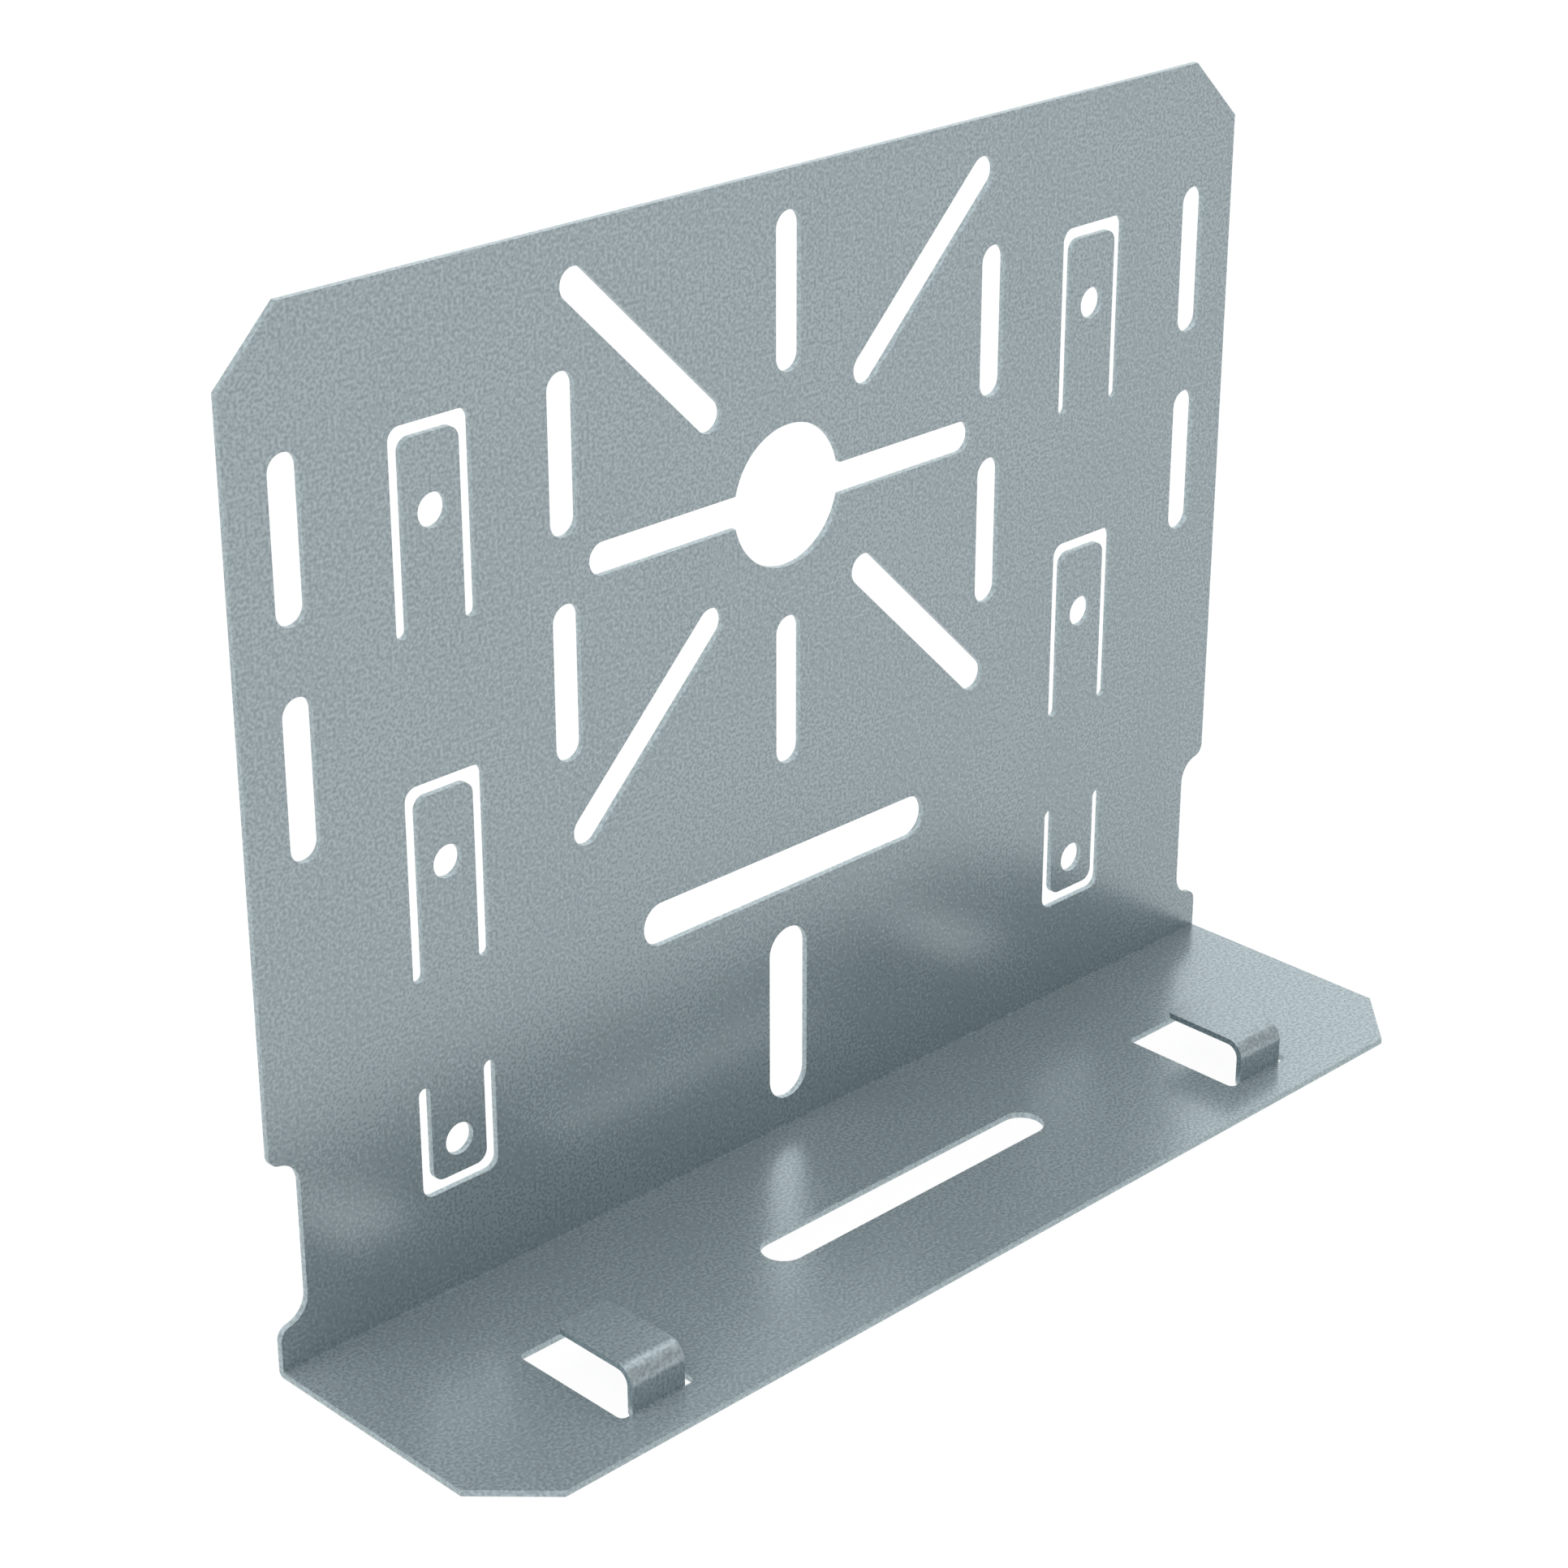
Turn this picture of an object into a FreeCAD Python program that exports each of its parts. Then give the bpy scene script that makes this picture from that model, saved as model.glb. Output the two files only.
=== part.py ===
import FreeCAD, Part
import math
import os
from FreeCAD import Vector

# Cable tray mounting plate: one galvanised sheet, punched flat and folded once into an angle.
# X runs along the fold, Y from the flange's front edge to the upright's back face, and Z up.
# The origin is on the flange's underside, under the middle of the plate. Sizes are in millimetres.

# The folded sheet
width = 200.0
height = 156.0
depth = 50.0
sheet = 1.0
fold_inside_radius = 0.1
corner_cut = 10.0

# Side notches, level with the foot slot that stands between them and as tall at the mouth
notch_depth = 5.0
notch_root_radius = 4.0
notch_mouth_radius = 2.0

# The hub: a round hole with slots about it, measured down from the upright's top edge
hub_drop = 49.0
hub_diameter = 22.0
slot_breadth = 5.0
cross_slot_length = 78.0
diagonal_slot_length = 40.0
diagonal_slot_distance = 40.0
diagonal_angle = 45.0
upright_slot_length = 24.0
centre_slot_distance = 31.0
side_slot_distance = 17.0
inner_column = 43.5
edge_column_inset = 9.5

# Wide slots, one across the upright's foot and one along the flange
wide_slot_length = 60.0
wide_slot_breadth = 7.0
wide_slot_height = 46.0
flange_slot_inset = 23.0

# Foot slot, upright, in the middle of the plate
foot_slot_length = 30.0
foot_slot_breadth = 8.0
foot_slot_height = 21.0

# Knock-out tabs, two columns, each tab freed on three sides by a U-shaped slit
tab_column = 66.5
tab_width = 10.0
tab_slit = 2.0
tab_corner_radius = 2.0
tab_hole_diameter = 5.0
long_slit_length = 30.0
long_slit_hole = 13.0
upper_slit_drop = 21.0
tab_pitch = 52.0
short_slit_length = 18.0
short_slit_hole = 7.5
short_slit_height = 18.0

# Hooks, lanced up out of the flange below each column of tabs
hook_width = 10.0
hook_slit = 2.0
hook_reach = 16.0
hook_opening = 6.0
hook_bend_radius = 2.0
hook_tip_radius = 1.5
window_inset = 7.0
window_length = 22.0
window_corner_radius = 1.0

# Every cut runs this far past the faces of the sheet
cut_past = 1.0

# Places worked out from the sizes above
side = width / 2
front = -depth / 2
back = depth / 2
face = back - sheet
hub_height = height - hub_drop
edge_column = side - edge_column_inset
fold_outside_radius = fold_inside_radius + sheet
window_front = front + window_inset


def unit(start, end):
    """The direction from one point of an outline to another."""
    step = end - start
    return step / step.Length


def rounded_outline(corners):
    """A flat face inside (x, y, radius) corners, each rounded by an arc tangent to its two sides."""
    points = [Vector(x, y, 0) for x, y, radius in corners]
    arcs = []
    for index, (x, y, radius) in enumerate(corners):
        point = points[index]
        before = unit(point, points[index - 1])
        after = unit(point, points[(index + 1) % len(points)])
        if radius == 0:
            arcs.append((point, None, point))
            continue
        half_angle = before.getAngle(after) / 2
        tangent = radius / math.tan(half_angle)
        bulge = radius / math.sin(half_angle) - radius
        middle = point + unit(Vector(), before + after) * bulge
        arcs.append((point + before * tangent, middle, point + after * tangent))
    edges = []
    for index, (start, middle, end) in enumerate(arcs):
        if middle is not None:
            edges.append(Part.Arc(start, middle, end).toShape())
        following = arcs[(index + 1) % len(arcs)][0]
        if end.distanceToPoint(following) > 1e-6:
            edges.append(Part.LineSegment(end, following).toShape())
    return Part.Face(Part.Wire(edges))


def rectangle(length, breadth, radius=0):
    """A rectangle about the origin with its length along X and its corners rounded."""
    x = length / 2
    y = breadth / 2
    return rounded_outline([(-x, -y, radius), (x, -y, radius), (x, y, radius), (-x, y, radius)])


def slot(length, breadth):
    """A straight slot about the origin with its length along X and round ends."""
    return rectangle(length, breadth, breadth / 2)


def disc(diameter):
    """A round hole about the origin."""
    return Part.Face(Part.Wire(Part.makeCircle(diameter / 2)))


def slit(length):
    """A U-shaped slit that frees a tab, closed at the top, with the top edge through the origin."""
    outer = tab_width / 2 + tab_slit
    inner = tab_width / 2
    end = tab_slit / 2
    corner = tab_corner_radius
    return rounded_outline([
        (-outer, 0, corner),
        (-outer, -length, end),
        (-inner, -length, end),
        (-inner, -tab_slit, corner),
        (inner, -tab_slit, corner),
        (inner, -length, end),
        (outer, -length, end),
        (outer, 0, corner),
    ])


def through_upright(outline, x, z, turn=0):
    """A cut through the upright, from an outline turned anticlockwise as seen from the front."""
    tool = outline.copy()
    tool.rotate(Vector(), Vector(0, 0, 1), turn)
    tool.rotate(Vector(), Vector(1, 0, 0), 90)
    tool.translate(Vector(x, face - cut_past, z))
    return tool.extrude(Vector(0, sheet + 2 * cut_past, 0))


def through_flange(outline, x, y):
    """A cut through the flange."""
    tool = outline.copy()
    tool.translate(Vector(x, y, -cut_past))
    return tool.extrude(Vector(0, 0, sheet + 2 * cut_past))


def folded_sheet():
    """The angle before it is punched: an L section carried along the fold."""
    section = rounded_outline([
        (front, 0, 0),
        (back, 0, fold_outside_radius),
        (back, height, 0),
        (face, height, 0),
        (face, sheet, fold_inside_radius),
        (front, sheet, 0),
    ])
    section.rotate(Vector(), Vector(1, 1, 1), 120)
    section.translate(Vector(-side, 0, 0))
    return section.extrude(Vector(width, 0, 0))


def corner_cuts():
    """The two cropped corners at the top of the upright and the two at the flange's front edge."""
    across = corner_cut * math.sqrt(2)
    crop = rectangle(across, across)
    cuts = []
    for x in (-side, side):
        cuts.append(through_upright(crop, x, height, 45))
        turned = crop.copy()
        turned.rotate(Vector(), Vector(0, 0, 1), 45)
        cuts.append(through_flange(turned, x, front))
    return cuts


def side_notches():
    """The notches in the upright's sides, whose ends sweep out in an S of two tangent arcs."""
    both_radii = notch_root_radius + notch_mouth_radius
    lean = math.asin(max(both_radii - notch_depth, 0) / both_radii)
    mouth = foot_slot_length / 2
    outer = mouth - notch_mouth_radius * math.tan(math.pi / 4 - lean / 2)
    inner = outer - notch_depth * math.tan(lean)
    notch = rounded_outline([
        (cut_past, mouth, 0),
        (0, mouth, 0),
        (0, outer, notch_mouth_radius),
        (-notch_depth, inner, notch_root_radius),
        (-notch_depth, -inner, notch_root_radius),
        (0, -outer, notch_mouth_radius),
        (0, -mouth, 0),
        (cut_past, -mouth, 0),
    ])
    return [
        through_upright(notch, side, foot_slot_height),
        through_upright(notch, -side, foot_slot_height, 180),
    ]


def hub_cuts():
    """The hub's hole, the slot across it, four diagonal slots and the upright slots about it."""
    cuts = [
        through_upright(disc(hub_diameter), 0, hub_height),
        through_upright(slot(cross_slot_length, slot_breadth), 0, hub_height),
    ]
    diagonal = slot(diagonal_slot_length, slot_breadth)
    for angle in (diagonal_angle, 180 - diagonal_angle, 180 + diagonal_angle, -diagonal_angle):
        x = diagonal_slot_distance * math.cos(math.radians(angle))
        z = diagonal_slot_distance * math.sin(math.radians(angle))
        cuts.append(through_upright(diagonal, x, hub_height + z, angle))
    upright = slot(upright_slot_length, slot_breadth)
    for way in (-1, 1):
        cuts.append(through_upright(upright, 0, hub_height + way * centre_slot_distance, 90))
        for x in (-edge_column, -inner_column, inner_column, edge_column):
            cuts.append(through_upright(upright, x, hub_height + way * side_slot_distance, 90))
    return cuts


def foot_cuts():
    """The wide slots of the upright and the flange, and the upright slot at the foot."""
    wide = slot(wide_slot_length, wide_slot_breadth)
    foot = slot(foot_slot_length, foot_slot_breadth)
    return [
        through_upright(wide, 0, wide_slot_height),
        through_upright(foot, 0, foot_slot_height, 90),
        through_flange(wide, 0, front + flange_slot_inset),
    ]


def tab_cuts():
    """The slit and the hole of each tab: two long tabs over a short one that hangs the other way."""
    long_slit = slit(long_slit_length)
    short_slit = slit(short_slit_length)
    hole = disc(tab_hole_diameter)
    cuts = []
    for x in (-tab_column, tab_column):
        for row in range(2):
            top = height - upper_slit_drop - row * tab_pitch
            cuts.append(through_upright(long_slit, x, top))
            cuts.append(through_upright(hole, x, top - long_slit_hole))
        cuts.append(through_upright(short_slit, x, short_slit_height, 180))
        cuts.append(through_upright(hole, x, short_slit_height + short_slit_hole))
    return cuts


def window_cuts():
    """The windows that the hooks were lanced out of."""
    window = rectangle(hook_width + 2 * hook_slit, window_length, window_corner_radius)
    middle = window_front + window_length / 2
    return [through_flange(window, x, middle) for x in (-tab_column, tab_column)]


def hook(x):
    """A hook: a strip that bends up at the window's front edge, then over towards the upright."""
    wall_front = window_front + fold_inside_radius
    wall_back = wall_front + sheet
    under = sheet + hook_opening
    top = under + sheet
    tip = window_front + hook_reach
    root = window_front - sheet
    section = rounded_outline([
        (root, 0, 0),
        (wall_back, 0, fold_outside_radius),
        (wall_back, under, hook_bend_radius),
        (tip, under, 0),
        (tip, top, 0),
        (wall_front, top, hook_bend_radius + sheet),
        (wall_front, sheet, fold_inside_radius),
        (root, sheet, 0),
    ])
    section.rotate(Vector(), Vector(1, 1, 1), 120)
    section.translate(Vector(x - hook_width / 2, 0, 0))
    strip = section.extrude(Vector(hook_width, 0, 0))
    half = hook_width / 2
    plan = rounded_outline([
        (x - half, root, 0),
        (x + half, root, 0),
        (x + half, tip, hook_tip_radius),
        (x - half, tip, hook_tip_radius),
    ])
    return strip.common(plan.extrude(Vector(0, 0, top)))


def mounting_plate():
    """The whole plate as one solid."""
    cuts = corner_cuts() + side_notches() + hub_cuts() + foot_cuts() + tab_cuts() + window_cuts()
    plate = folded_sheet().cut(cuts)
    plate = plate.fuse([hook(-tab_column), hook(tab_column)])
    return plate.removeSplitter().Solids[0]


os.makedirs("parts", exist_ok=True)
plate = mounting_plate()
box = plate.BoundBox
print("mounting_plate valid", plate.isValid(), "volume", round(plate.Volume, 1), "mm3")
print("box", round(box.XLength, 3), round(box.YLength, 3), round(box.ZLength, 3))
plate.exportStep("parts/mounting_plate.step")
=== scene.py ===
# %% [markdown]
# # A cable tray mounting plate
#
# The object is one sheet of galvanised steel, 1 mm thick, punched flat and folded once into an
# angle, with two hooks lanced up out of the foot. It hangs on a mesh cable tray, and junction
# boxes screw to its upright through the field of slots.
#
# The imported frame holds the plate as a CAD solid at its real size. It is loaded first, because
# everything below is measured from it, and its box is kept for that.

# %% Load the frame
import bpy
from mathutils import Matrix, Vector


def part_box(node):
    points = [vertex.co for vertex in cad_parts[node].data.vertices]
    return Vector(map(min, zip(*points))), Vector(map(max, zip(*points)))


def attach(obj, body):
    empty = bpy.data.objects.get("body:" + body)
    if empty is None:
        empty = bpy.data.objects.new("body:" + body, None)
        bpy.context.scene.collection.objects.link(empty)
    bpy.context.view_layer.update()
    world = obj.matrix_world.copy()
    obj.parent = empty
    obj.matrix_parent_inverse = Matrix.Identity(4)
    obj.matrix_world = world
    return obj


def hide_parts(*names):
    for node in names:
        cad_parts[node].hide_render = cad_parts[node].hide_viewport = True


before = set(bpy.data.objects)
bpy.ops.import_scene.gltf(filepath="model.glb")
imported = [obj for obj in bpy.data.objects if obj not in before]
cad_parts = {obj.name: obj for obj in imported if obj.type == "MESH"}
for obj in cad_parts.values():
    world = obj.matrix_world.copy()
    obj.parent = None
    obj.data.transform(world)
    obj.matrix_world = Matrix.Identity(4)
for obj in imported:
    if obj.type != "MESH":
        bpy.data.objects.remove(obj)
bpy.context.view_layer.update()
plate_low, plate_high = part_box("mounting_plate")

# %% [markdown]
# Blender works in metres, and a sheet metal drawing in millimetres. The drawing's numbers stay in
# millimetres here, as arrays, and turn into metres only when a mesh is made. Outlines and meshes
# are numpy arrays, so one line of arithmetic moves every point at once.

# %% Modules and units
import math
import bpy
import numpy as np
from mathutils import Vector
from mathutils.geometry import delaunay_2d_cdt

mm = 0.001
quarter_turn = math.pi / 2
width, depth, height = (plate_high - plate_low) / mm
print(f"the folded plate is {width:.1f} by {depth:.1f} by {height:.1f} mm")

# %% [markdown]
# # The blank
#
# The real plate starts as a flat blank: a press punches every slot while the sheet is flat, and
# only then folds it. The visible plate could be the CAD solid itself, but that has knife-sharp
# edges and no trace of which faces are rolled sheet and which are cut steel. Here the plate is
# made the way the factory makes it, with its edges as a punch leaves them.
#
# Across the blank run two coordinates: u along the fold, and v from the foot's front edge over the
# fold to the top. On the foot v is the same as Y. Above the fold it is Z plus a constant, because
# a bend uses up as much sheet as its middle layer is long. Inside, the fold is nearly sharp. A
# tenth of a millimetre would already mirror a light line that the real plate does not show.

# %% Sizes of the folded sheet
sheet = 1.0
fold_inside_radius = 0.02
fold_radius = fold_inside_radius + sheet / 2

side = width / 2
front = -depth / 2
face = depth / 2 - sheet
fold_start = face - fold_inside_radius
fold_end = fold_start + fold_radius * quarter_turn
upright_shift = fold_end - fold_inside_radius - sheet
top = height + upright_shift
print(f"blank {width:.1f} by {top - front:.2f} mm; above the fold v = z + {upright_shift:.3f} mm")

# %% [markdown]
# An outline is a closed row of points. Its round parts are arcs, and an arc gets as many points as
# it needs to stay within a few thousandths of a millimetre of the true circle.

# %% Arcs
chord_error = 0.004
widest_step = math.radians(10)


def arc(centre, radius, start, turn):
    """centre + radius * (cos a, sin a), where a goes from start through turn in even steps."""
    step = min(widest_step, 2 * math.acos(1 - chord_error / radius))
    angle = start + turn * np.linspace(0, 1, math.ceil(abs(turn) / step) + 1)
    return centre + radius * np.column_stack([np.cos(angle), np.sin(angle)])


print("a quarter of a 5 mm hole takes", len(arc(np.zeros(2), 2.5, 0, quarter_turn)) - 1, "chords")

# %% [markdown]
# A punch has round corners, so each corner of an outline is given with its radius and becomes an
# arc that touches both sides. A corner with no radius stays a point. A slot is a rectangle whose
# corners are so round that two of them make half a circle.

# %% Outlines with round corners
same_place = chord_error / 10


def unit(vectors):
    """Each row divided by its own length."""
    return vectors / np.linalg.norm(vectors, axis=-1, keepdims=True)


def without_repeats(outline):
    """The outline with only one point left where two follow each other in the same place."""
    gap = np.linalg.norm(outline - np.roll(outline, 1, axis=0), axis=1)
    return outline[gap > same_place]


def rounded(corners):
    """The outline through (u, v, radius) corners. With half the angle between two sides called
    half, the arc starts radius / tan(half) from the corner, and its centre lies
    radius / sin(half) from the corner on the line that halves the angle."""
    corners = np.array(corners, dtype=float)
    point, radius = corners[:, :2], corners[:, 2:]
    before = unit(np.roll(point, 1, axis=0) - point)
    after = unit(np.roll(point, -1, axis=0) - point)
    half = np.arccos(np.sum(before * after, axis=1, keepdims=True)) / 2
    centre = point + unit(before + after) * radius / np.sin(half)
    first = point + before * radius / np.tan(half) - centre
    last = point + after * radius / np.tan(half) - centre
    start = np.arctan2(first[:, 1], first[:, 0])
    turn = np.arctan2(last[:, 1], last[:, 0]) - start
    turn = (turn + math.pi) % (2 * math.pi) - math.pi
    arcs = [
        arc(centre[i], radius[i, 0], start[i], turn[i]) if radius[i, 0] > 0 else point[i:i + 1]
        for i in range(len(corners))
    ]
    return without_repeats(np.vstack(arcs))


def mirrored_across(right):
    """The closed row of corners that a right half makes with its own mirror image in u = 0."""
    return np.vstack([right, right[::-1] * (-1, 1, 1)])


def placed(outline, u, v, turn=0.0):
    """The outline turned anticlockwise by an angle in degrees, then moved to (u, v)."""
    c, s = math.cos(math.radians(turn)), math.sin(math.radians(turn))
    return outline @ np.array([[c, s], [-s, c]]) + (u, v)


def slot(length, breadth):
    """A slot about the origin, its length along u, with a half circle at each end."""
    x, y, radius = length / 2, breadth / 2, breadth / 2
    return rounded([(-x, -y, radius), (x, -y, radius), (x, y, radius), (-x, y, radius)])


print("a 24 mm slot takes", len(slot(24, 5)), "points")

# %% [markdown]
# The outside of the blank has its four corners cropped, and a notch in each side of the upright.
# The notch's ends sweep in with a small arc and a larger one the other way, like a stretched S.
# The corners go round anticlockwise, and the left side is the right side mirrored.

# %% The outside of the blank
corner_cut = 10.0
foot_slot_length = 30.0
foot_slot_height = 21.0
notch_depth = 5.0
notch_root_radius = 4.0
notch_mouth_radius = 2.0

both_radii = notch_root_radius + notch_mouth_radius
notch_lean = math.asin((both_radii - notch_depth) / both_radii)
notch_outer = foot_slot_length / 2 - notch_mouth_radius * math.tan(math.pi / 4 - notch_lean / 2)
notch_inner = notch_outer - notch_depth * math.tan(notch_lean)
notch_middle = foot_slot_height + upright_shift

right_side = np.array([
    (side - corner_cut, front, 0),
    (side, front + corner_cut, 0),
    (side, notch_middle - notch_outer, notch_mouth_radius),
    (side - notch_depth, notch_middle - notch_inner, notch_root_radius),
    (side - notch_depth, notch_middle + notch_inner, notch_root_radius),
    (side, notch_middle + notch_outer, notch_mouth_radius),
    (side, top - corner_cut, 0),
    (side - corner_cut, top, 0),
])
outside = rounded(mirrored_across(right_side))
outlines = [outside]
print("the outside has", len(outside), "points")

# %% [markdown]
# The slots stand about a hub, where a cable gland or the back of a box goes, with one long slot
# across it. The hub and its long slot are one opening, so their outline is one row of points: the
# slot's round end, then the hub's arc, cut short where the slot's straight sides meet it, and then
# both again on the other side.

# %% The hub
hub_drop = 49.0
hub_radius = 11.0
slot_breadth = 5.0
cross_slot_length = 78.0

hub_v = height - hub_drop + upright_shift
slot_half = slot_breadth / 2
meeting = math.asin(slot_half / hub_radius)
cross_end_centre = np.array([cross_slot_length / 2 - slot_half, 0])
cross_end = arc(cross_end_centre, slot_half, -quarter_turn, 2 * quarter_turn)
hub_arc = arc(np.zeros(2), hub_radius, meeting, 2 * quarter_turn - 2 * meeting)
half_hub = np.vstack([cross_end, hub_arc])
hub = without_repeats(np.vstack([half_hub, -half_hub]))
outlines.append(placed(hub, 0, hub_v))
print(f"the long slot opens into the hub {math.degrees(meeting):.1f} degrees off the level")

# %% [markdown]
# Upright slots and four diagonal ones give a box with almost any hole spacing a place for its
# screws. A diagonal slot is drawn beside the hub first and then turned about it.

# %% The slots about the hub
diagonal_slot_length = 40.0
diagonal_slot_distance = 40.0
upright_slot_length = 24.0
centre_slot_distance = 31.0
side_slot_distance = 17.0
inner_column = 43.5
edge_column_inset = 9.5

edge_column = side - edge_column_inset
diagonal_slot = placed(slot(diagonal_slot_length, slot_breadth), diagonal_slot_distance, 0)
upright_slot = slot(upright_slot_length, slot_breadth)
for angle in (45, 135, 225, 315):
    outlines.append(placed(diagonal_slot, 0, hub_v, angle))
for way in (-1, 1):
    outlines.append(placed(upright_slot, 0, hub_v + way * centre_slot_distance, 90))
    for u in (-edge_column, -inner_column, inner_column, edge_column):
        outlines.append(placed(upright_slot, u, hub_v + way * side_slot_distance, 90))
print(len(outlines) - 1, "openings with the hub")

# %% [markdown]
# Below the hub a wide slot lies across the upright's foot, with an upright slot under it, and a
# second wide slot lies along the foot itself. They suit larger bolts or a strap.

# %% Wide slots and foot slot
wide_slot_length = 60.0
wide_slot_breadth = 7.0
wide_slot_height = 46.0
flange_slot_inset = 23.0
foot_slot_breadth = 8.0

wide_slot = slot(wide_slot_length, wide_slot_breadth)
outlines.append(placed(wide_slot, 0, wide_slot_height + upright_shift))
outlines.append(placed(slot(foot_slot_length, foot_slot_breadth), 0, notch_middle, 90))
outlines.append(placed(wide_slot, 0, front + flange_slot_inset))
print(len(outlines) - 1, "openings with the wide ones")

# %% [markdown]
# Beside the slots run two columns of tabs. Each tab is freed on three sides by a slit shaped like
# a square U and carries a screw hole, so it can be bent out of the way. The short tab at the
# bottom stands the other way up, which a half turn of the same outline gives.

# %% Tabs
tab_column = 66.5
tab_half = 5.0
tab_slit = 2.0
tab_corner_radius = 2.0
tab_hole_radius = 2.5
long_tab_length = 30.0
long_tab_hole = 13.0
upper_tab_drop = 21.0
tab_pitch = 52.0
short_tab_length = 18.0
short_tab_hole = 7.5
short_tab_height = 18.0


def slit(length):
    """The U-shaped slit, closed side up: the right leg goes down inside, round its end and back
    up outside, and the left leg is its mirror image. The closed side runs through the origin."""
    outer, inner, end = tab_half + tab_slit, tab_half, tab_slit / 2
    return rounded(mirrored_across(np.array([
        (inner, -tab_slit, tab_corner_radius),
        (inner, -length, end),
        (outer, -length, end),
        (outer, 0, tab_corner_radius),
    ])))


upper_tab_top = height - upper_tab_drop
tabs = [
    (long_tab_length, upper_tab_top, 0, -long_tab_hole),
    (long_tab_length, upper_tab_top - tab_pitch, 0, -long_tab_hole),
    (short_tab_length, short_tab_height, 180, short_tab_hole),
]
tab_hole = arc(np.zeros(2), tab_hole_radius, 0, 4 * quarter_turn)[1:]
for u in (-tab_column, tab_column):
    for length, closed_side, turn, hole_rise in tabs:
        v = closed_side + upright_shift
        outlines.append(placed(slit(length), u, v, turn))
        outlines.append(placed(tab_hole, u, v + hole_rise))
print(len(outlines) - 1, "openings with the tabs")

# %% [markdown]
# Each hook is a strip of the foot itself. The press cuts a window around it on three sides and
# bends the strip up at its root, then over towards the upright. Laid flat again, the strip is as
# long as the middle layer of its two bends and three straight runs, and it just fits the window.
#
# The plate and the hook are both written as runs: a length along the middle layer, and the radius
# that it bends to, with 0 for a straight run and minus for a bend the other way.

# %% Windows with the hooks still flat in them
hook_half = 5.0
hook_slit = 2.0
hook_reach = 16.0
hook_opening = 6.0
hook_bend_inside_radius = 2.0
hook_tip_radius = 1.5
window_inset = 7.0
window_length = 22.0
window_corner_radius = 1.0

hook_bend_radius = hook_bend_inside_radius + sheet / 2
hook_wall = hook_opening - fold_inside_radius - hook_bend_inside_radius
hook_finger = hook_reach - fold_radius - hook_bend_radius
hook_runs = [
    (window_inset, 0),
    (fold_radius * quarter_turn, fold_radius),
    (hook_wall, 0),
    (hook_bend_radius * quarter_turn, -hook_bend_radius),
    (hook_finger, 0),
]
plate_runs = [
    (fold_start - front, 0),
    (fold_radius * quarter_turn, fold_radius),
    (top - fold_end, 0),
]
hook_tip = front + sum(length for length, radius in hook_runs)

window_front = front + window_inset
window_half = hook_half + hook_slit
half_window = np.array([
    (hook_half, hook_tip, hook_tip_radius),
    (hook_half, window_front, 0),
    (window_half, window_front, window_corner_radius),
    (window_half, window_front + window_length, window_corner_radius),
])
window = rounded(mirrored_across(half_window))
outlines += [placed(window, u, 0) for u in (-tab_column, tab_column)]
print(f"flat hook {hook_tip - window_front:.2f} mm long in a {window_length:.0f} mm window")

# %% [markdown]
# # The sheet
#
# The flat faces are going to be filled with triangles. So that none of them is a needle, the long
# sides of the outlines get a point every few millimetres. So that the sheet can bend, rows of
# points lie along each bend, close together.
#
# The rows run out past the metal, so that they cross its edges and give them points too. Only the
# rows of a hook's root end at its sides, because the first of them lies level with the window's
# own front edge.

# %% Points along the outlines and the bends
point_spacing = 4.0
bend_steps = 14


def with_points_between(outline):
    """The outline with each side longer than the spacing cut into equal parts."""
    ahead = np.roll(outline, -1, axis=0)
    parts = np.ceil(np.linalg.norm(ahead - outline, axis=1) / point_spacing).astype(int)
    first = np.repeat(np.cumsum(parts) - parts, parts)
    share = (np.arange(parts.sum()) - first) / np.repeat(parts, parts)
    start, end = np.repeat(outline, parts, axis=0), np.repeat(ahead, parts, axis=0)
    return start + (end - start) * share[:, None]


def bend_rows(u_from, u_to, v_from, v_to):
    """Rows of points along u, one for each step of a bend that lasts from v_from to v_to."""
    across = np.linspace(u_from, u_to, max(2, math.ceil((u_to - u_from) / point_spacing) + 1))
    steps = np.linspace(v_from, v_to, bend_steps + 1)
    return [np.column_stack([across, np.full_like(across, v)]) for v in steps]


outlines = [with_points_between(outline) for outline in outlines]
rows = bend_rows(-side - sheet, side + sheet, fold_start, fold_end)
hook_bends = np.cumsum([length for length, radius in hook_runs]) + front
for u in (-tab_column, tab_column):
    for first_run, reach in ((0, hook_half), (2, hook_half + hook_slit / 2)):
        rows += bend_rows(u - reach, u + reach, hook_bends[first_run], hook_bends[first_run + 1])
print(sum(len(outline) for outline in outlines), "points on outlines,", len(rows), "rows on bends")

# %% [markdown]
# A point of the blank is metal where a ray from it crosses the outlines an odd number of times:
# once to leave the sheet, and twice more for every opening on the way.

# %% Metal or hole


def crossings(points, outline):
    """How many sides of the outline a ray from each point towards +u meets: the sides whose ends
    lie above and below the point, and which at its height lie to its right."""
    u, v = points[:, :1], points[:, 1:]
    start, end = outline, np.roll(outline, -1, axis=0)
    straddles = (start[:, 1] > v) != (end[:, 1] > v)
    rise = end[:, 1] - start[:, 1]
    share = (v - start[:, 1]) / np.where(rise == 0, 1, rise)
    return np.sum(straddles & (start[:, 0] + share * (end[:, 0] - start[:, 0]) > u), axis=1)


def is_sheet(points):
    """True where the sheet has metal: an odd number of crossings over all outlines."""
    return sum(crossings(points, outline) for outline in outlines) % 2 == 1


print("metal in the middle of the hub:", bool(is_sheet(np.array([(0.0, hub_v)]))[0]))

# %% [markdown]
# A lattice of points fills the open stretches, every second row half a step along, so that its
# triangles have even sides. Points that come too near an outline or a bend are left out.

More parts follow.
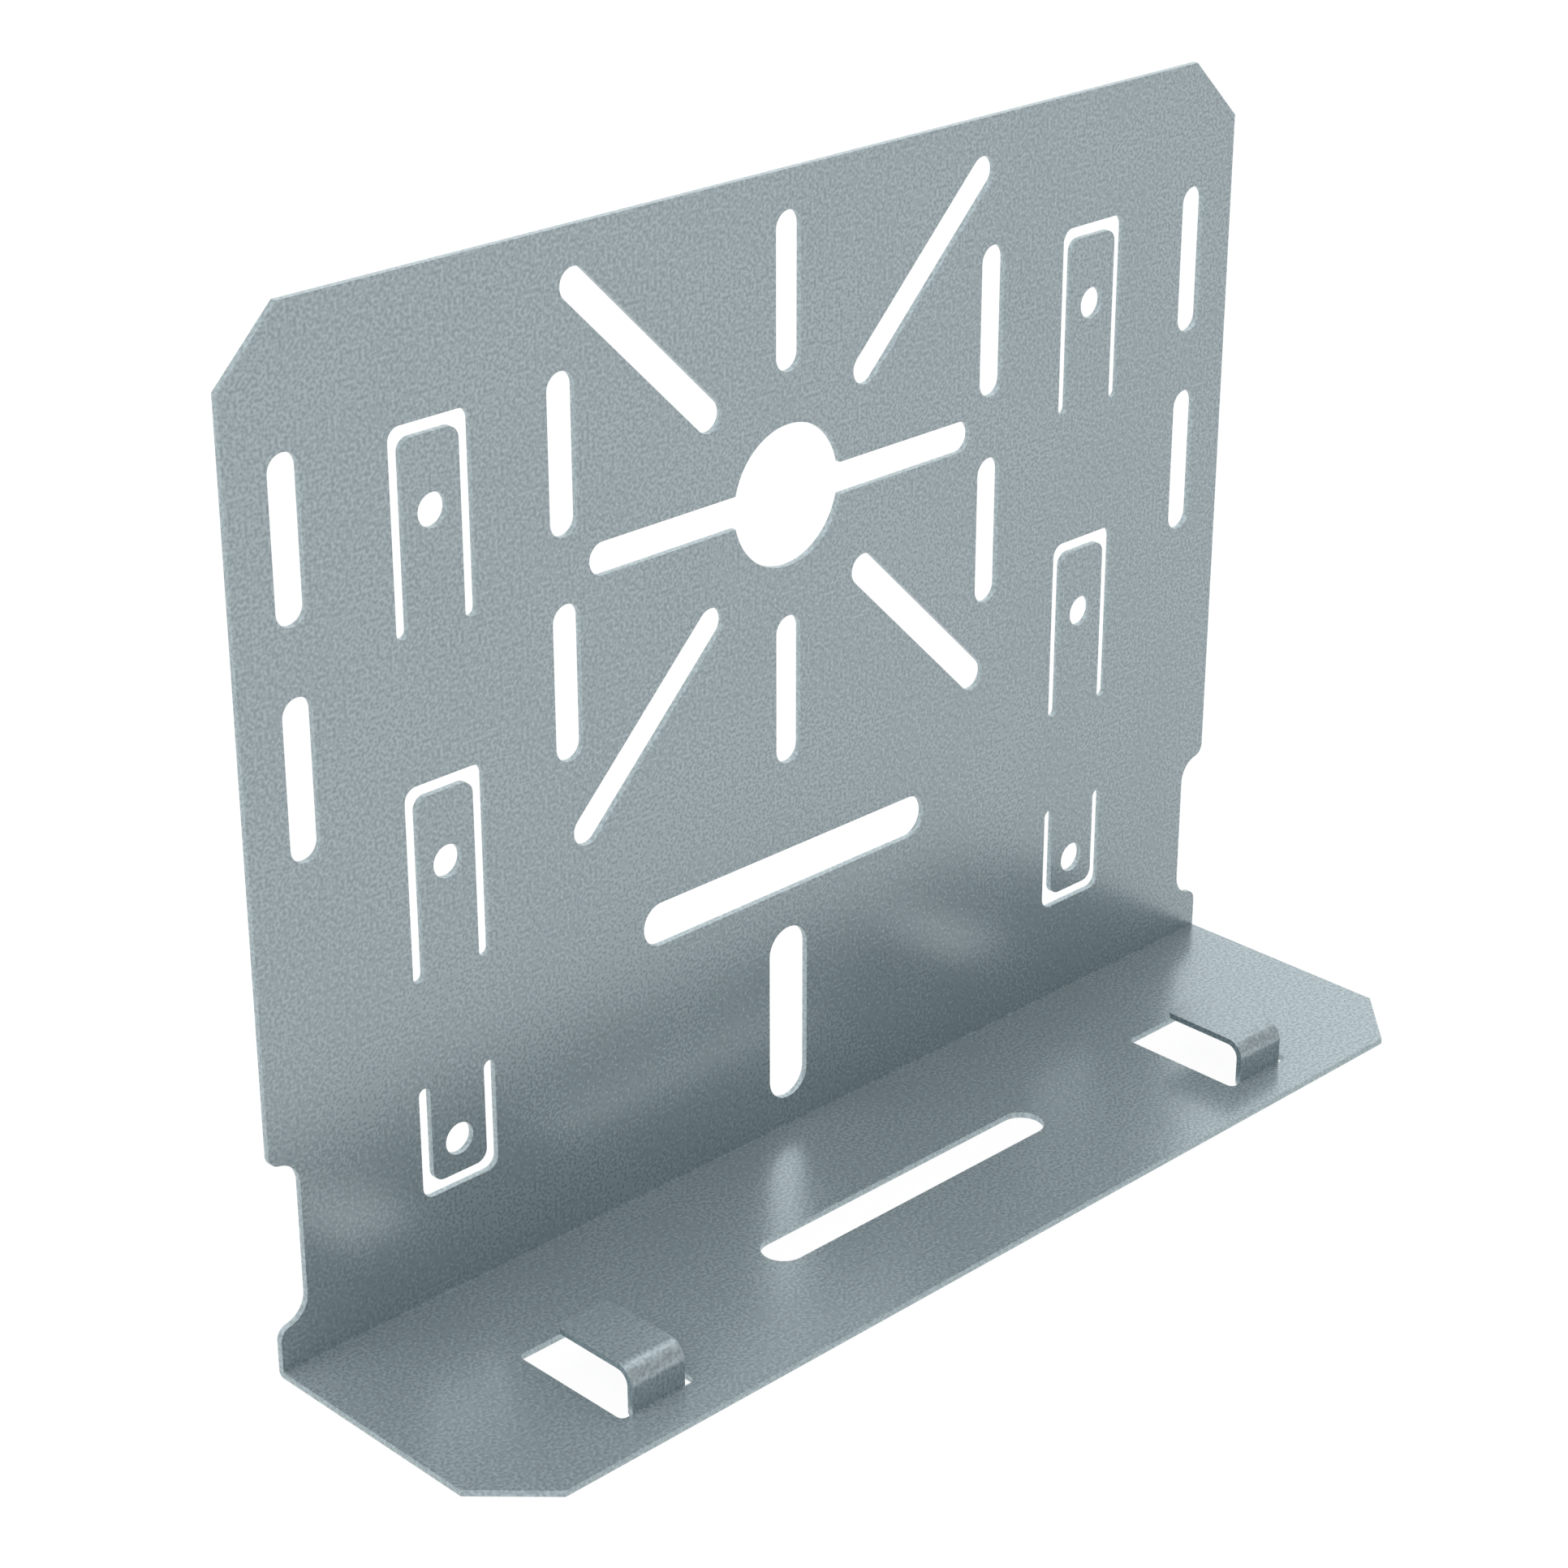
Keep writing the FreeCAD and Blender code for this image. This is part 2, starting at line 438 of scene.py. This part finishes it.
# %% A lattice for the open stretches
lattice_clearance = 0.6 * point_spacing

lattice_u = np.arange(-side + point_spacing, side, point_spacing)
lattice_v = np.arange(front + point_spacing, top, point_spacing * math.sqrt(3) / 2)
lattice = np.stack(np.meshgrid(lattice_u, lattice_v), axis=-1)
lattice[1::2, :, 0] += point_spacing / 2
lattice = lattice.reshape(-1, 2)
fixed = np.vstack(outlines + rows)
nearest = np.linalg.norm(lattice[:, None] - fixed, axis=2).min(axis=1)
lattice = lattice[(nearest > lattice_clearance) & is_sheet(lattice)]
print(len(lattice), "lattice points beside", len(fixed), "fixed ones")

# %% [markdown]
# A constrained Delaunay triangulation joins all points into the roundest triangles it can while it
# keeps every given line, here the outlines and the rows along the bends. It covers the holes too,
# so a triangle stays only where its middle is metal.

# %% Triangles of the flat blank
fill_whole_hull = 0
merge_distance = 1e-5

points = np.vstack([fixed, lattice])
lines = []
count = 0
for outline in outlines:
    number = count + np.arange(len(outline))
    lines.append(np.column_stack([number, np.roll(number, -1)]))
    count += len(outline)
for row in rows:
    number = count + np.arange(len(row))
    lines.append(np.column_stack([number[:-1], number[1:]]))
    count += len(row)
filled = delaunay_2d_cdt(
    [Vector(p) for p in points], np.vstack(lines).tolist(), [], fill_whole_hull, merge_distance)
flat = np.array([tuple(p) for p in filled[0]])
triangles = np.array(filled[2])
triangles = triangles[is_sheet(flat[triangles].mean(axis=1))]
used, triangles = np.unique(triangles, return_inverse=True)
flat, triangles = flat[used], triangles.reshape(-1, 3)

corner = flat[triangles]
first_side, second_side = corner[:, 1] - corner[:, 0], corner[:, 2] - corner[:, 0]
area = (first_side[:, 0] * second_side[:, 1] - first_side[:, 1] * second_side[:, 0]) / 2
print(f"{len(triangles)} triangles, {area.sum():.1f} mm2 in all, the smallest {area.min():.5f}")

# %% [markdown]
# A punch leaves its mark on the cut. Where it enters, it drags the skin of the sheet down into a
# small round shoulder. Then it shears a smooth upright band, and the rest of the thickness breaks
# off rough, leaning back a few hundredths. The hooks are pushed up, so the punch came from below:
# the shoulder is on the underside and on the back of the upright, and the crisp side is in front.
#
# The cut's profile is a row of points, each with a setback into the metal and a level in the
# sheet, from the crisp side down to the shoulder. Each point also gets the direction that the cut
# faces there, square to the profile, and a 1 where the surface is bare cut steel. At both ends
# the profile runs into a skin and faces as that skin does.

# %% The cut's profile
shoulder_reach = 0.10
shoulder_drop = 0.07
sheared_to = 0.42
break_setback = 0.03
crisp_radius = 0.03
arc_points = 4

swing = np.linspace(0, quarter_turn, arc_points)
crisp_setback = break_setback + crisp_radius * (1 - np.sin(swing))
crisp_level = sheet - crisp_radius * (1 - np.cos(swing))
shoulder_setback = shoulder_reach * (1 - np.cos(swing))
shoulder_level = shoulder_drop * (1 - np.sin(swing))
profile = np.vstack([
    np.column_stack([crisp_setback, crisp_level]),
    [(0, sheared_to)],
    np.column_stack([shoulder_setback, shoulder_level]),
])
profile_setback, profile_level = profile.T
along = np.gradient(profile, axis=0)
profile_facing = unit(np.column_stack([-along[:, 1], -along[:, 0]]))
profile_facing[0] = (0, 1)
profile_facing[-1] = (0, -1)
below_crisp_side = profile_level < sheet - crisp_radius / 2
above_shoulder = profile_level > shoulder_drop / 2
profile_is_cut = (below_crisp_side & above_shoulder).astype(float)
print(len(profile), "points from the crisp side to the shoulder")

# %% [markdown]
# An edge of the blank is a side that only one triangle has. The metal lies to its left, so the
# direction into the metal is its own direction turned a quarter to the left. At a corner, where
# the directions a and b of two edges into the metal meet, the cut is set back along the mitre
# (a + b) / (1 + a.b), which keeps the same distance from both edges.

# %% The edges of the blank
directed = np.vstack([triangles[:, [0, 1]], triangles[:, [1, 2]], triangles[:, [2, 0]]])
code = directed[:, 0] * len(flat) + directed[:, 1]
reverse_code = directed[:, 1] * len(flat) + directed[:, 0]
edges = directed[~np.isin(code, reverse_code)]
edges = edges[np.argsort(edges[:, 0])]
rim = edges[:, 0]
place_in_rim = np.zeros(len(flat), dtype=int)
place_in_rim[rim] = np.arange(len(rim))
next_edge = place_in_rim[edges[:, 1]]
previous_edge = np.empty_like(next_edge)
previous_edge[next_edge] = np.arange(len(rim))

run = unit(flat[edges[:, 1]] - flat[edges[:, 0]])
inward = np.column_stack([-run[:, 1], run[:, 0]])
inward_before = inward[previous_edge]
agreement = np.sum(inward * inward_before, axis=1, keepdims=True)
mitre = (inward + inward_before) / (1 + agreement)
longest_mitre = np.linalg.norm(mitre, axis=1).max()
print(len(rim), "points on the edges of the blank, mitres up to", round(longest_mitre, 2))

# %% [markdown]
# The two skins of the sheet and the wall between them are put together flat, in (u, v, level).
# Every point of the blank's edge gets a copy of the cut's profile, so the wall is a grid with the
# edge along one side and the profile along the other. Its first and last rows are the skins' own
# points.

# %% Two skins and a wall
rings = len(profile)
skin = len(flat)

sheet_points = np.zeros((2 * skin + (rings - 2) * len(rim), 3))
ring = np.empty((rings, len(rim)), dtype=int)
ring[0] = rim
ring[-1] = skin + rim
ring[1:-1] = 2 * skin + np.arange((rings - 2) * len(rim)).reshape(rings - 2, -1)
sheet_points[:skin, :2] = flat
sheet_points[:skin, 2] = sheet
sheet_points[skin:2 * skin, :2] = flat
sheet_points[ring, :2] = flat[rim] + profile_setback[:, None, None] * mitre
sheet_points[ring, 2] = profile_level[:, None]

start, end = np.arange(len(rim)), next_edge
upper, lower = ring[:-1], ring[1:]
walls = np.stack([upper[:, start], lower[:, start], lower[:, end], upper[:, end]], axis=-1)
print(len(walls.reshape(-1, 4)), "wall faces on", len(sheet_points), "points")

# %% [markdown]
# Each corner of a wall face gets the direction that it faces, worked out from the formula and not
# from the triangles, so that flat stays perfectly flat and a bend shades as one curve. Where two
# edges meet at less than a gentle angle, both of their corners face the same way.

# %% Which way the wall faces
gentle_angle = math.radians(25)

smooth_start = agreement > math.cos(gentle_angle)
middle = unit(inward + inward_before)
facing_start = -np.where(smooth_start, middle, inward)
facing_end = -np.where(smooth_start[next_edge], middle[next_edge], inward)


def wall_facing(outward, row):
    """outward * the profile's share across + straight up * its share along the sheet's height."""
    across, up = profile_facing[row, 0], profile_facing[row, 1]
    level_part = outward[None] * across[:, None, None]
    upright_part = np.broadcast_to(up[:, None, None], level_part.shape[:2] + (1,))
    return np.concatenate([level_part, upright_part], axis=2)


above, below = np.arange(rings - 1), np.arange(1, rings)
wall_facings = np.stack([
    wall_facing(facing_start, above),
    wall_facing(facing_start, below),
    wall_facing(facing_end, below),
    wall_facing(facing_end, above),
], axis=2)

cut_above, cut_below = profile_is_cut[above], profile_is_cut[below]
cut_at_corners = np.stack([cut_above, cut_below, cut_below, cut_above], axis=-1)
wall_cut = np.broadcast_to(cut_at_corners[:, None], walls.shape)
print(f"{smooth_start.mean():.0%} of the edge points are smooth, the rest are corners")

# %% [markdown]
# # The fold
#
# Folding moves every point of the blank. The sheet's middle layer is a chain of straight runs and
# bends, and a point goes as far along that chain as it lies from the front edge, then off the
# middle layer by its own height in the sheet. The hooks have a longer chain of their own, and up
# to their root both chains are the same.

# %% Along a chain of runs


def follow(distance, runs):
    """Place (y, z) and heading after a distance along runs of (length, radius). A straight run
    adds length * (cos h, sin h) at heading h. A bend turns the heading by length / radius and adds
    radius * (sin h2 - sin h1, cos h1 - cos h2). A negative radius bends the other way."""
    heading = np.zeros_like(distance)
    y, z = np.full_like(distance, front), np.full_like(distance, sheet / 2)
    started = 0.0
    for length, radius in runs:
        travelled = np.clip(distance - started, 0, length)
        if radius == 0:
            y, z = y + travelled * np.cos(heading), z + travelled * np.sin(heading)
        else:
            turned = heading + travelled / radius
            y = y + radius * (np.sin(turned) - np.sin(heading))
            z = z + radius * (np.cos(heading) - np.cos(turned))
            heading = turned
        started += length
    return y, z, heading


tip_y, tip_z, tip_heading = follow(np.array([hook_tip - front]), hook_runs)
print(f"a hook's tip comes to y {tip_y[0]:.2f}, z {tip_z[0]:.2f} mm")

# %% [markdown]
# A facing turns by the heading that the chain has there: it stays as it is on the foot, and turns
# a quarter on the upright.

# %% Folding


def folded(flat_points):
    """The points (u, v, level) of the blank in their place on the folded plate, and the heading."""
    u, v, level = flat_points.T
    in_hook_column = np.abs(np.abs(u) - tab_column) < hook_half + chord_error
    on_hook = in_hook_column & (v < hook_tip + chord_error)
    plate_course = follow(v - front, plate_runs)
    hook_course = follow(v - front, hook_runs)
    y, z, heading = np.where(on_hook, hook_course, plate_course)
    off = level - sheet / 2
    return np.column_stack([u, y - off * np.sin(heading), z + off * np.cos(heading)]), heading


def turned_up(facing, heading):
    """A facing (u, v, level) turned up by the heading: v and level rotate as y and z do."""
    u, v, level = facing.T
    c, s = np.cos(heading), np.sin(heading)
    return np.column_stack([u, v * c - level * s, v * s + level * c])


plate_points, heading = folded(sheet_points)
print("folded box", plate_points.min(axis=0).round(3), plate_points.max(axis=0).round(3), "mm")

# %% [markdown]
# The mesh takes all its points, faces and facings at once, from arrays. Two values travel with
# each corner for the finish: whether it lies on cut steel, and how high it lies in the sheet. The
# finished sheet then takes the place of the hidden CAD solid, on the root body, and later both get
# the same material.

# %% The mesh
faces = [triangles, skin + triangles[:, ::-1], walls.reshape(-1, 4)]
face_corners = np.concatenate([part.ravel() for part in faces])
face_sizes = np.concatenate([np.full(len(part), part.shape[1]) for part in faces])
up, down = np.array([0.0, 0.0, 1.0]), np.array([0.0, 0.0, -1.0])
facings = np.vstack([
    np.broadcast_to(up, (triangles.size, 3)),
    np.broadcast_to(down, (triangles.size, 3)),
    wall_facings.reshape(-1, 3),
])
facings = turned_up(facings, heading[face_corners])
cut = np.concatenate([np.zeros(2 * triangles.size), wall_cut.ravel()])
level = sheet_points[face_corners, 2] / sheet

mesh = bpy.data.meshes.new("mounting_plate_sheet")
mesh.vertices.add(len(plate_points))
mesh.vertices.foreach_set("co", (plate_points * mm).ravel())
mesh.loops.add(len(face_corners))
mesh.loops.foreach_set("vertex_index", face_corners)
mesh.polygons.add(len(face_sizes))
mesh.polygons.foreach_set("loop_start", np.cumsum(face_sizes) - face_sizes)
mesh.polygons.foreach_set("loop_total", face_sizes)
mesh.update(calc_edges=True)
mesh.shade_smooth()
mesh.normals_split_custom_set(facings)
mesh.attributes.new("cut_edge", "FLOAT", "CORNER").data.foreach_set("value", cut)
mesh.attributes.new("sheet_level", "FLOAT", "CORNER").data.foreach_set("value", level)
plate = bpy.data.objects.new("mounting_plate_sheet", mesh)
bpy.context.scene.collection.objects.link(plate)
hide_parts("mounting_plate")
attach(plate, "root")
print(len(mesh.polygons), "faces;", "valid" if not mesh.validate(verbose=True) else "mended")

# %% [markdown]
# # The finish
#
# The finish of a surface is a small circuit of nodes. To keep it readable, a socket's value is
# wrapped in a class of its own here, so that ordinary sums and products of values place the Math
# nodes by themselves. Everything else, such as a noise or a mix of two colours, is placed by one
# method that takes the node's type, its settings and what its sockets get.

# %% Nodes as expressions


class Value:
    """The value of one socket. Arithmetic on it adds Math nodes to its board."""

    def __init__(self, board, socket):
        self.board = board
        self.socket = socket

    def maths(self, operation, first, second):
        """A Math node that puts two values or numbers together."""
        return self.board.add("ShaderNodeMath", {"operation": operation}, {0: first, 1: second})

    def __add__(self, other):
        return self.maths("ADD", self, other)

    def __sub__(self, other):
        return self.maths("SUBTRACT", self, other)

    def __rsub__(self, other):
        return self.maths("SUBTRACT", other, self)

    def __mul__(self, other):
        return self.maths("MULTIPLY", self, other)

    __radd__ = __add__
    __rmul__ = __mul__

    def between(self, low, high):
        """0 at low and before it, 1 at high and beyond, and a smooth step from one to the other."""
        return self.board.add(
            "ShaderNodeMapRange",
            {"interpolation_type": "SMOOTHSTEP"},
            {"Value": self, "From Min": low, "From Max": high},
        )


class Board:
    """The nodes of one material or of the world."""

    def __init__(self, owner):
        owner.use_nodes = True
        self.tree = owner.node_tree
        self.tree.nodes.clear()

    def add(self, kind, settings, sockets, result=0):
        """One node: settings first, then a number, a colour or a Value for each named socket. The
        result names the output that comes back as a Value."""
        node = self.tree.nodes.new(kind)
        for name, setting in settings.items():
            setattr(node, name, setting)
        for name, given in sockets.items():
            if isinstance(given, Value):
                self.tree.links.new(given.socket, node.inputs[name])
            else:
                node.inputs[name].default_value = given
        return Value(self, node.outputs[result]) if len(node.outputs) else None

    def mixed(self, share, first, second):
        """The first colour where share is 0, the second where it is 1."""
        settings = {"data_type": "RGBA"}
        return self.add("ShaderNodeMix", settings, {0: share, 6: first, 7: second}, 2)

    def noise(self, place, size, detail=0.0):
        """Smooth noise from 0 to 1 whose cells are about size millimetres across."""
        return self.add(
            "ShaderNodeTexNoise",
            {"noise_dimensions": "3D"},
            {"Vector": place, "Scale": 1 / (size * mm), "Detail": detail},
        )


print("a Value adds, subtracts and multiplies with numbers and with other Values")

# %% [markdown]
# Hot zinc freezes on the steel as a dull skin of fine crystals. Close up it is a mottle of short
# light worms on a darker ground, a little bluer where it is light. From a step away it is an even
# blue grey with the soft mirror of a metal.
#
# An even grain like this comes from one octave of noise, in cells of half a millimetre. The faces
# of the sheet stand whole millimetres apart, so each one cuts the noise where its cells begin, and
# the worms have the same width everywhere. Larger, fainter clouds keep wide faces from looking
# printed.

# %% Grain and clouds
grain_size = 0.50
grain_dark_end = 0.2
grain_light_end = 0.8
cloud_size = 14.0

finish = bpy.data.materials.new("galvanised_sheet_finish")
board = Board(finish)
place = board.add("ShaderNodeTexCoord", {}, {}, "Object")
grain = board.noise(place, grain_size)
clouds = board.noise(place, cloud_size, detail=2.0)
worms = grain.between(grain_dark_end, grain_light_end)
print(len(board.tree.nodes), "nodes for the grain and the clouds")

# %% [markdown]
# The skin is partly bare metal and partly the chalky oxide that grows on zinc: the metal mirrors
# the room, and the oxide scatters light from all around, also where there is nothing bright to
# mirror. The cut edges have no zinc. They are steel, nearly all metal, and a little darker and
# rougher where the sheet broke than where the punch sheared it smooth. Between the two bands lies
# a ragged line, so one fades into the other. The hidden CAD solid gets the same finish.

# %% Galvanised sheet
zinc_light = (0.475, 0.550, 0.575, 1)
zinc_dark = (0.309, 0.367, 0.392, 1)
steel_light = (0.459, 0.546, 0.574, 1)
steel_dark = (0.319, 0.381, 0.399, 1)
cloud_contrast = 0.16
break_darkening = 0.12
metal_share = 0.56
edge_metal_share = 0.86
smooth_roughness = 0.27
roughness_of_grain = 0.05
roughness_of_clouds = 0.06
roughness_of_break = 0.06
grain_depth = 0.010
ragged_below = 0.03
ragged_above = 0.05

cut_edge = board.add("ShaderNodeAttribute", {"attribute_name": "cut_edge"}, {}, "Fac")
sheet_level = board.add("ShaderNodeAttribute", {"attribute_name": "sheet_level"}, {}, "Fac")
ragged_start = (sheared_to - ragged_below) / sheet
ragged_end = (sheared_to + ragged_above) / sheet
broken = sheet_level.between(ragged_start, ragged_end)

zinc = board.mixed(worms + cloud_contrast * (clouds - 0.5), zinc_dark, zinc_light)
steel = board.mixed(worms - break_darkening * broken, steel_dark, steel_light)
roughness = (
    smooth_roughness
    + roughness_of_grain * (grain - 0.5)
    + roughness_of_clouds * (clouds - 0.5)
    + roughness_of_break * (cut_edge * broken)
)
bump = board.add("ShaderNodeBump", {}, {"Distance": grain_depth * mm, "Height": grain})
surface = board.add("ShaderNodeBsdfPrincipled", {}, {
    "Base Color": board.mixed(cut_edge, zinc, steel),
    "Metallic": metal_share + (edge_metal_share - metal_share) * cut_edge,
    "Specular IOR Level": 0.0,
    "Roughness": roughness,
    "Normal": bump,
})
board.add("ShaderNodeOutputMaterial", {}, {"Surface": surface})
mesh.materials.append(finish)
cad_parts["mounting_plate"].material_slots[0].material = finish
print(len(board.tree.nodes), "nodes in the finish")

# %% [markdown]
# # The studio
#
# The plate is shown on seamless white. A metal has no colour without something to mirror, so the
# floor and the world are white to the camera and to reflections alike. The floor is a pale matt
# sheet that glows. Near the plate a tenth of what is seen is the sheet's own shading, which keeps
# the soft shadow where the foot stands on it, and further off the glow takes over, so that the
# floor runs into the white behind it without a horizon. The glow stands a little over white,
# because the shading near the plate is darker than white.

# %% Floor
floor_size = 20.0
floor_colour = (0.92, 0.92, 0.92, 1)
white = (1, 1, 1, 1)
glow_level = 1.03
glow_near_plate = 0.9
shading_fades_from = 0.15
shading_ends = 0.8

ends = [-floor_size / 2, floor_size / 2]
corner_x, corner_y = np.meshgrid(ends, ends)
floor_points = np.column_stack([corner_x.ravel(), corner_y.ravel(), np.zeros(4)])
floor_mesh = bpy.data.meshes.new("floor")
floor_mesh.from_pydata(floor_points, [], [(0, 1, 3, 2)])
floor = bpy.data.objects.new("floor", floor_mesh)
bpy.context.scene.collection.objects.link(floor)


def seen_directly(board):
    """1 for what the camera sees, itself or in a mirror or through glass, and 0 for other light."""
    camera, mirror, glass = [
        board.add("ShaderNodeLightPath", {}, {}, f"Is {kind} Ray")
        for kind in ("Camera", "Glossy", "Transmission")
    ]
    return (camera + mirror + glass).between(0, 1)


paper = bpy.data.materials.new("white_paper")
board = Board(paper)
place = board.add("ShaderNodeTexCoord", {}, {}, "Object")
from_plate = board.add("ShaderNodeVectorMath", {"operation": "LENGTH"}, {0: place}, "Value")
matt = board.add("ShaderNodeBsdfDiffuse", {}, {"Color": floor_colour})
glow = board.add("ShaderNodeEmission", {}, {"Color": white, "Strength": glow_level})
further_off = from_plate.between(shading_fades_from, shading_ends)
glow_share = glow_near_plate + (1 - glow_near_plate) * further_off
glow_seen = seen_directly(board) * glow_share
surface = board.add("ShaderNodeMixShader", {}, {0: glow_seen, 1: matt, 2: glow})
board.add("ShaderNodeOutputMaterial", {}, {"Surface": surface})
floor_mesh.materials.append(paper)
print("floor", floor_size, "m wide")

# %% [markdown]
# The world is a white room that is darker towards the front. That is what makes the foot, the
# hooks' walls and the lower part of the upright darker than the rest. A matt surface gets hardly
# any light from the front, while a mirror still finds two thirds of the white there. To the
# camera the room is white all round.

# %% World
darker_front = 0.9
darker_front_mirrored = 0.32
front_begins = 0.2
front_in_full = -0.6

world = bpy.data.worlds.new("studio")
bpy.context.scene.world = world
board = Board(world)
seen = seen_directly(board)
mirrored = board.add("ShaderNodeLightPath", {}, {}, "Is Glossy Ray")
direction = board.add("ShaderNodeTexCoord", {}, {}, "Object")
away_from_front = board.add("ShaderNodeSeparateXYZ", {}, {"Vector": direction}, "Y")
towards_front = away_from_front.between(front_begins, front_in_full)
darker = darker_front * (1 - seen) + darker_front_mirrored * mirrored
brightness = 1 - darker * towards_front
sky = board.add("ShaderNodeBackground", {}, {"Color": white, "Strength": brightness})
board.add("ShaderNodeOutputWorld", {}, {"Surface": sky})
print(f"the front is {1 - darker_front:.2f} of white to a matt surface")
print(f"and {1 - darker_front_mirrored:.2f} of white in a mirror")

# %% [markdown]
# Three softboxes light the plate from above: a wide, weak one high on the right and a little
# behind, which draws the bright line along the hooks and lights the foot, one high on the left,
# and one straight overhead. A lamp's glow adds to the white room behind it, so no glow is above
# white.

# %% Lamps
lamp_distance = 1.2
plate_middle = Vector((plate_low + plate_high) / 2)


def softbox(name, direction, size, glow):
    """A square lamp of that size that faces the plate's middle from a direction. A mirror shows
    its glow, so its power is the glow times pi times its area."""
    direction = Vector(direction).normalized()
    lamp = bpy.data.lights.new(name, "AREA")
    lamp.shape = "SQUARE"
    lamp.size = size
    lamp.energy = glow * math.pi * size ** 2
    box = bpy.data.objects.new(name, lamp)
    box.location = plate_middle + lamp_distance * direction
    box.rotation_euler = (-direction).to_track_quat("-Z", "Y").to_euler()
    box.visible_camera = False
    bpy.context.scene.collection.objects.link(box)
    print(f"{name}: {lamp.energy:.2f} W")


softbox("right_softbox", direction=(0.66, 0.30, 0.69), size=1.75, glow=0.32)
softbox("left_softbox", direction=(-0.65, 0.00, 0.76), size=1.2, glow=1.00)
softbox("overhead_softbox", direction=(-0.10, -0.20, 1.00), size=1.4, glow=0.60)
bpy.context.scene.view_settings.view_transform = "Standard"

# %% [markdown]
# # The camera
#
# The lens and the place come from the photo: a pinhole camera fitted to the plate's own outline
# and holes gave this azimuth, elevation, distance and focal length, with no shift and no roll.

# %% Camera
photo_pixels = 1932
focal_pixels = 4430.5
sensor_width = 36.0
azimuth = math.radians(-44.408)
elevation = math.radians(24.722)
aim = Vector((15.57, 40.87, 49.84)) * mm
distance = 572.19 * mm

away = Vector((
    math.sin(azimuth) * math.cos(elevation),
    -math.cos(azimuth) * math.cos(elevation),
    math.sin(elevation),
))
lens = bpy.data.cameras.new("photo_camera")
lens.sensor_width = sensor_width
lens.lens = sensor_width * focal_pixels / photo_pixels
lens.clip_start = 10 * mm
camera = bpy.data.objects.new("photo_camera", lens)
camera.location = aim + distance * away
camera.rotation_euler = (-away).to_track_quat("-Z", "Y").to_euler()
bpy.context.scene.collection.objects.link(camera)
bpy.context.scene.camera = camera
print(f"lens {lens.lens:.2f} mm at {camera.location.length:.3f} m")

# %% [markdown]
# The last cell brings the scene up to date.

# %% Update the scene
bpy.context.view_layer.update()
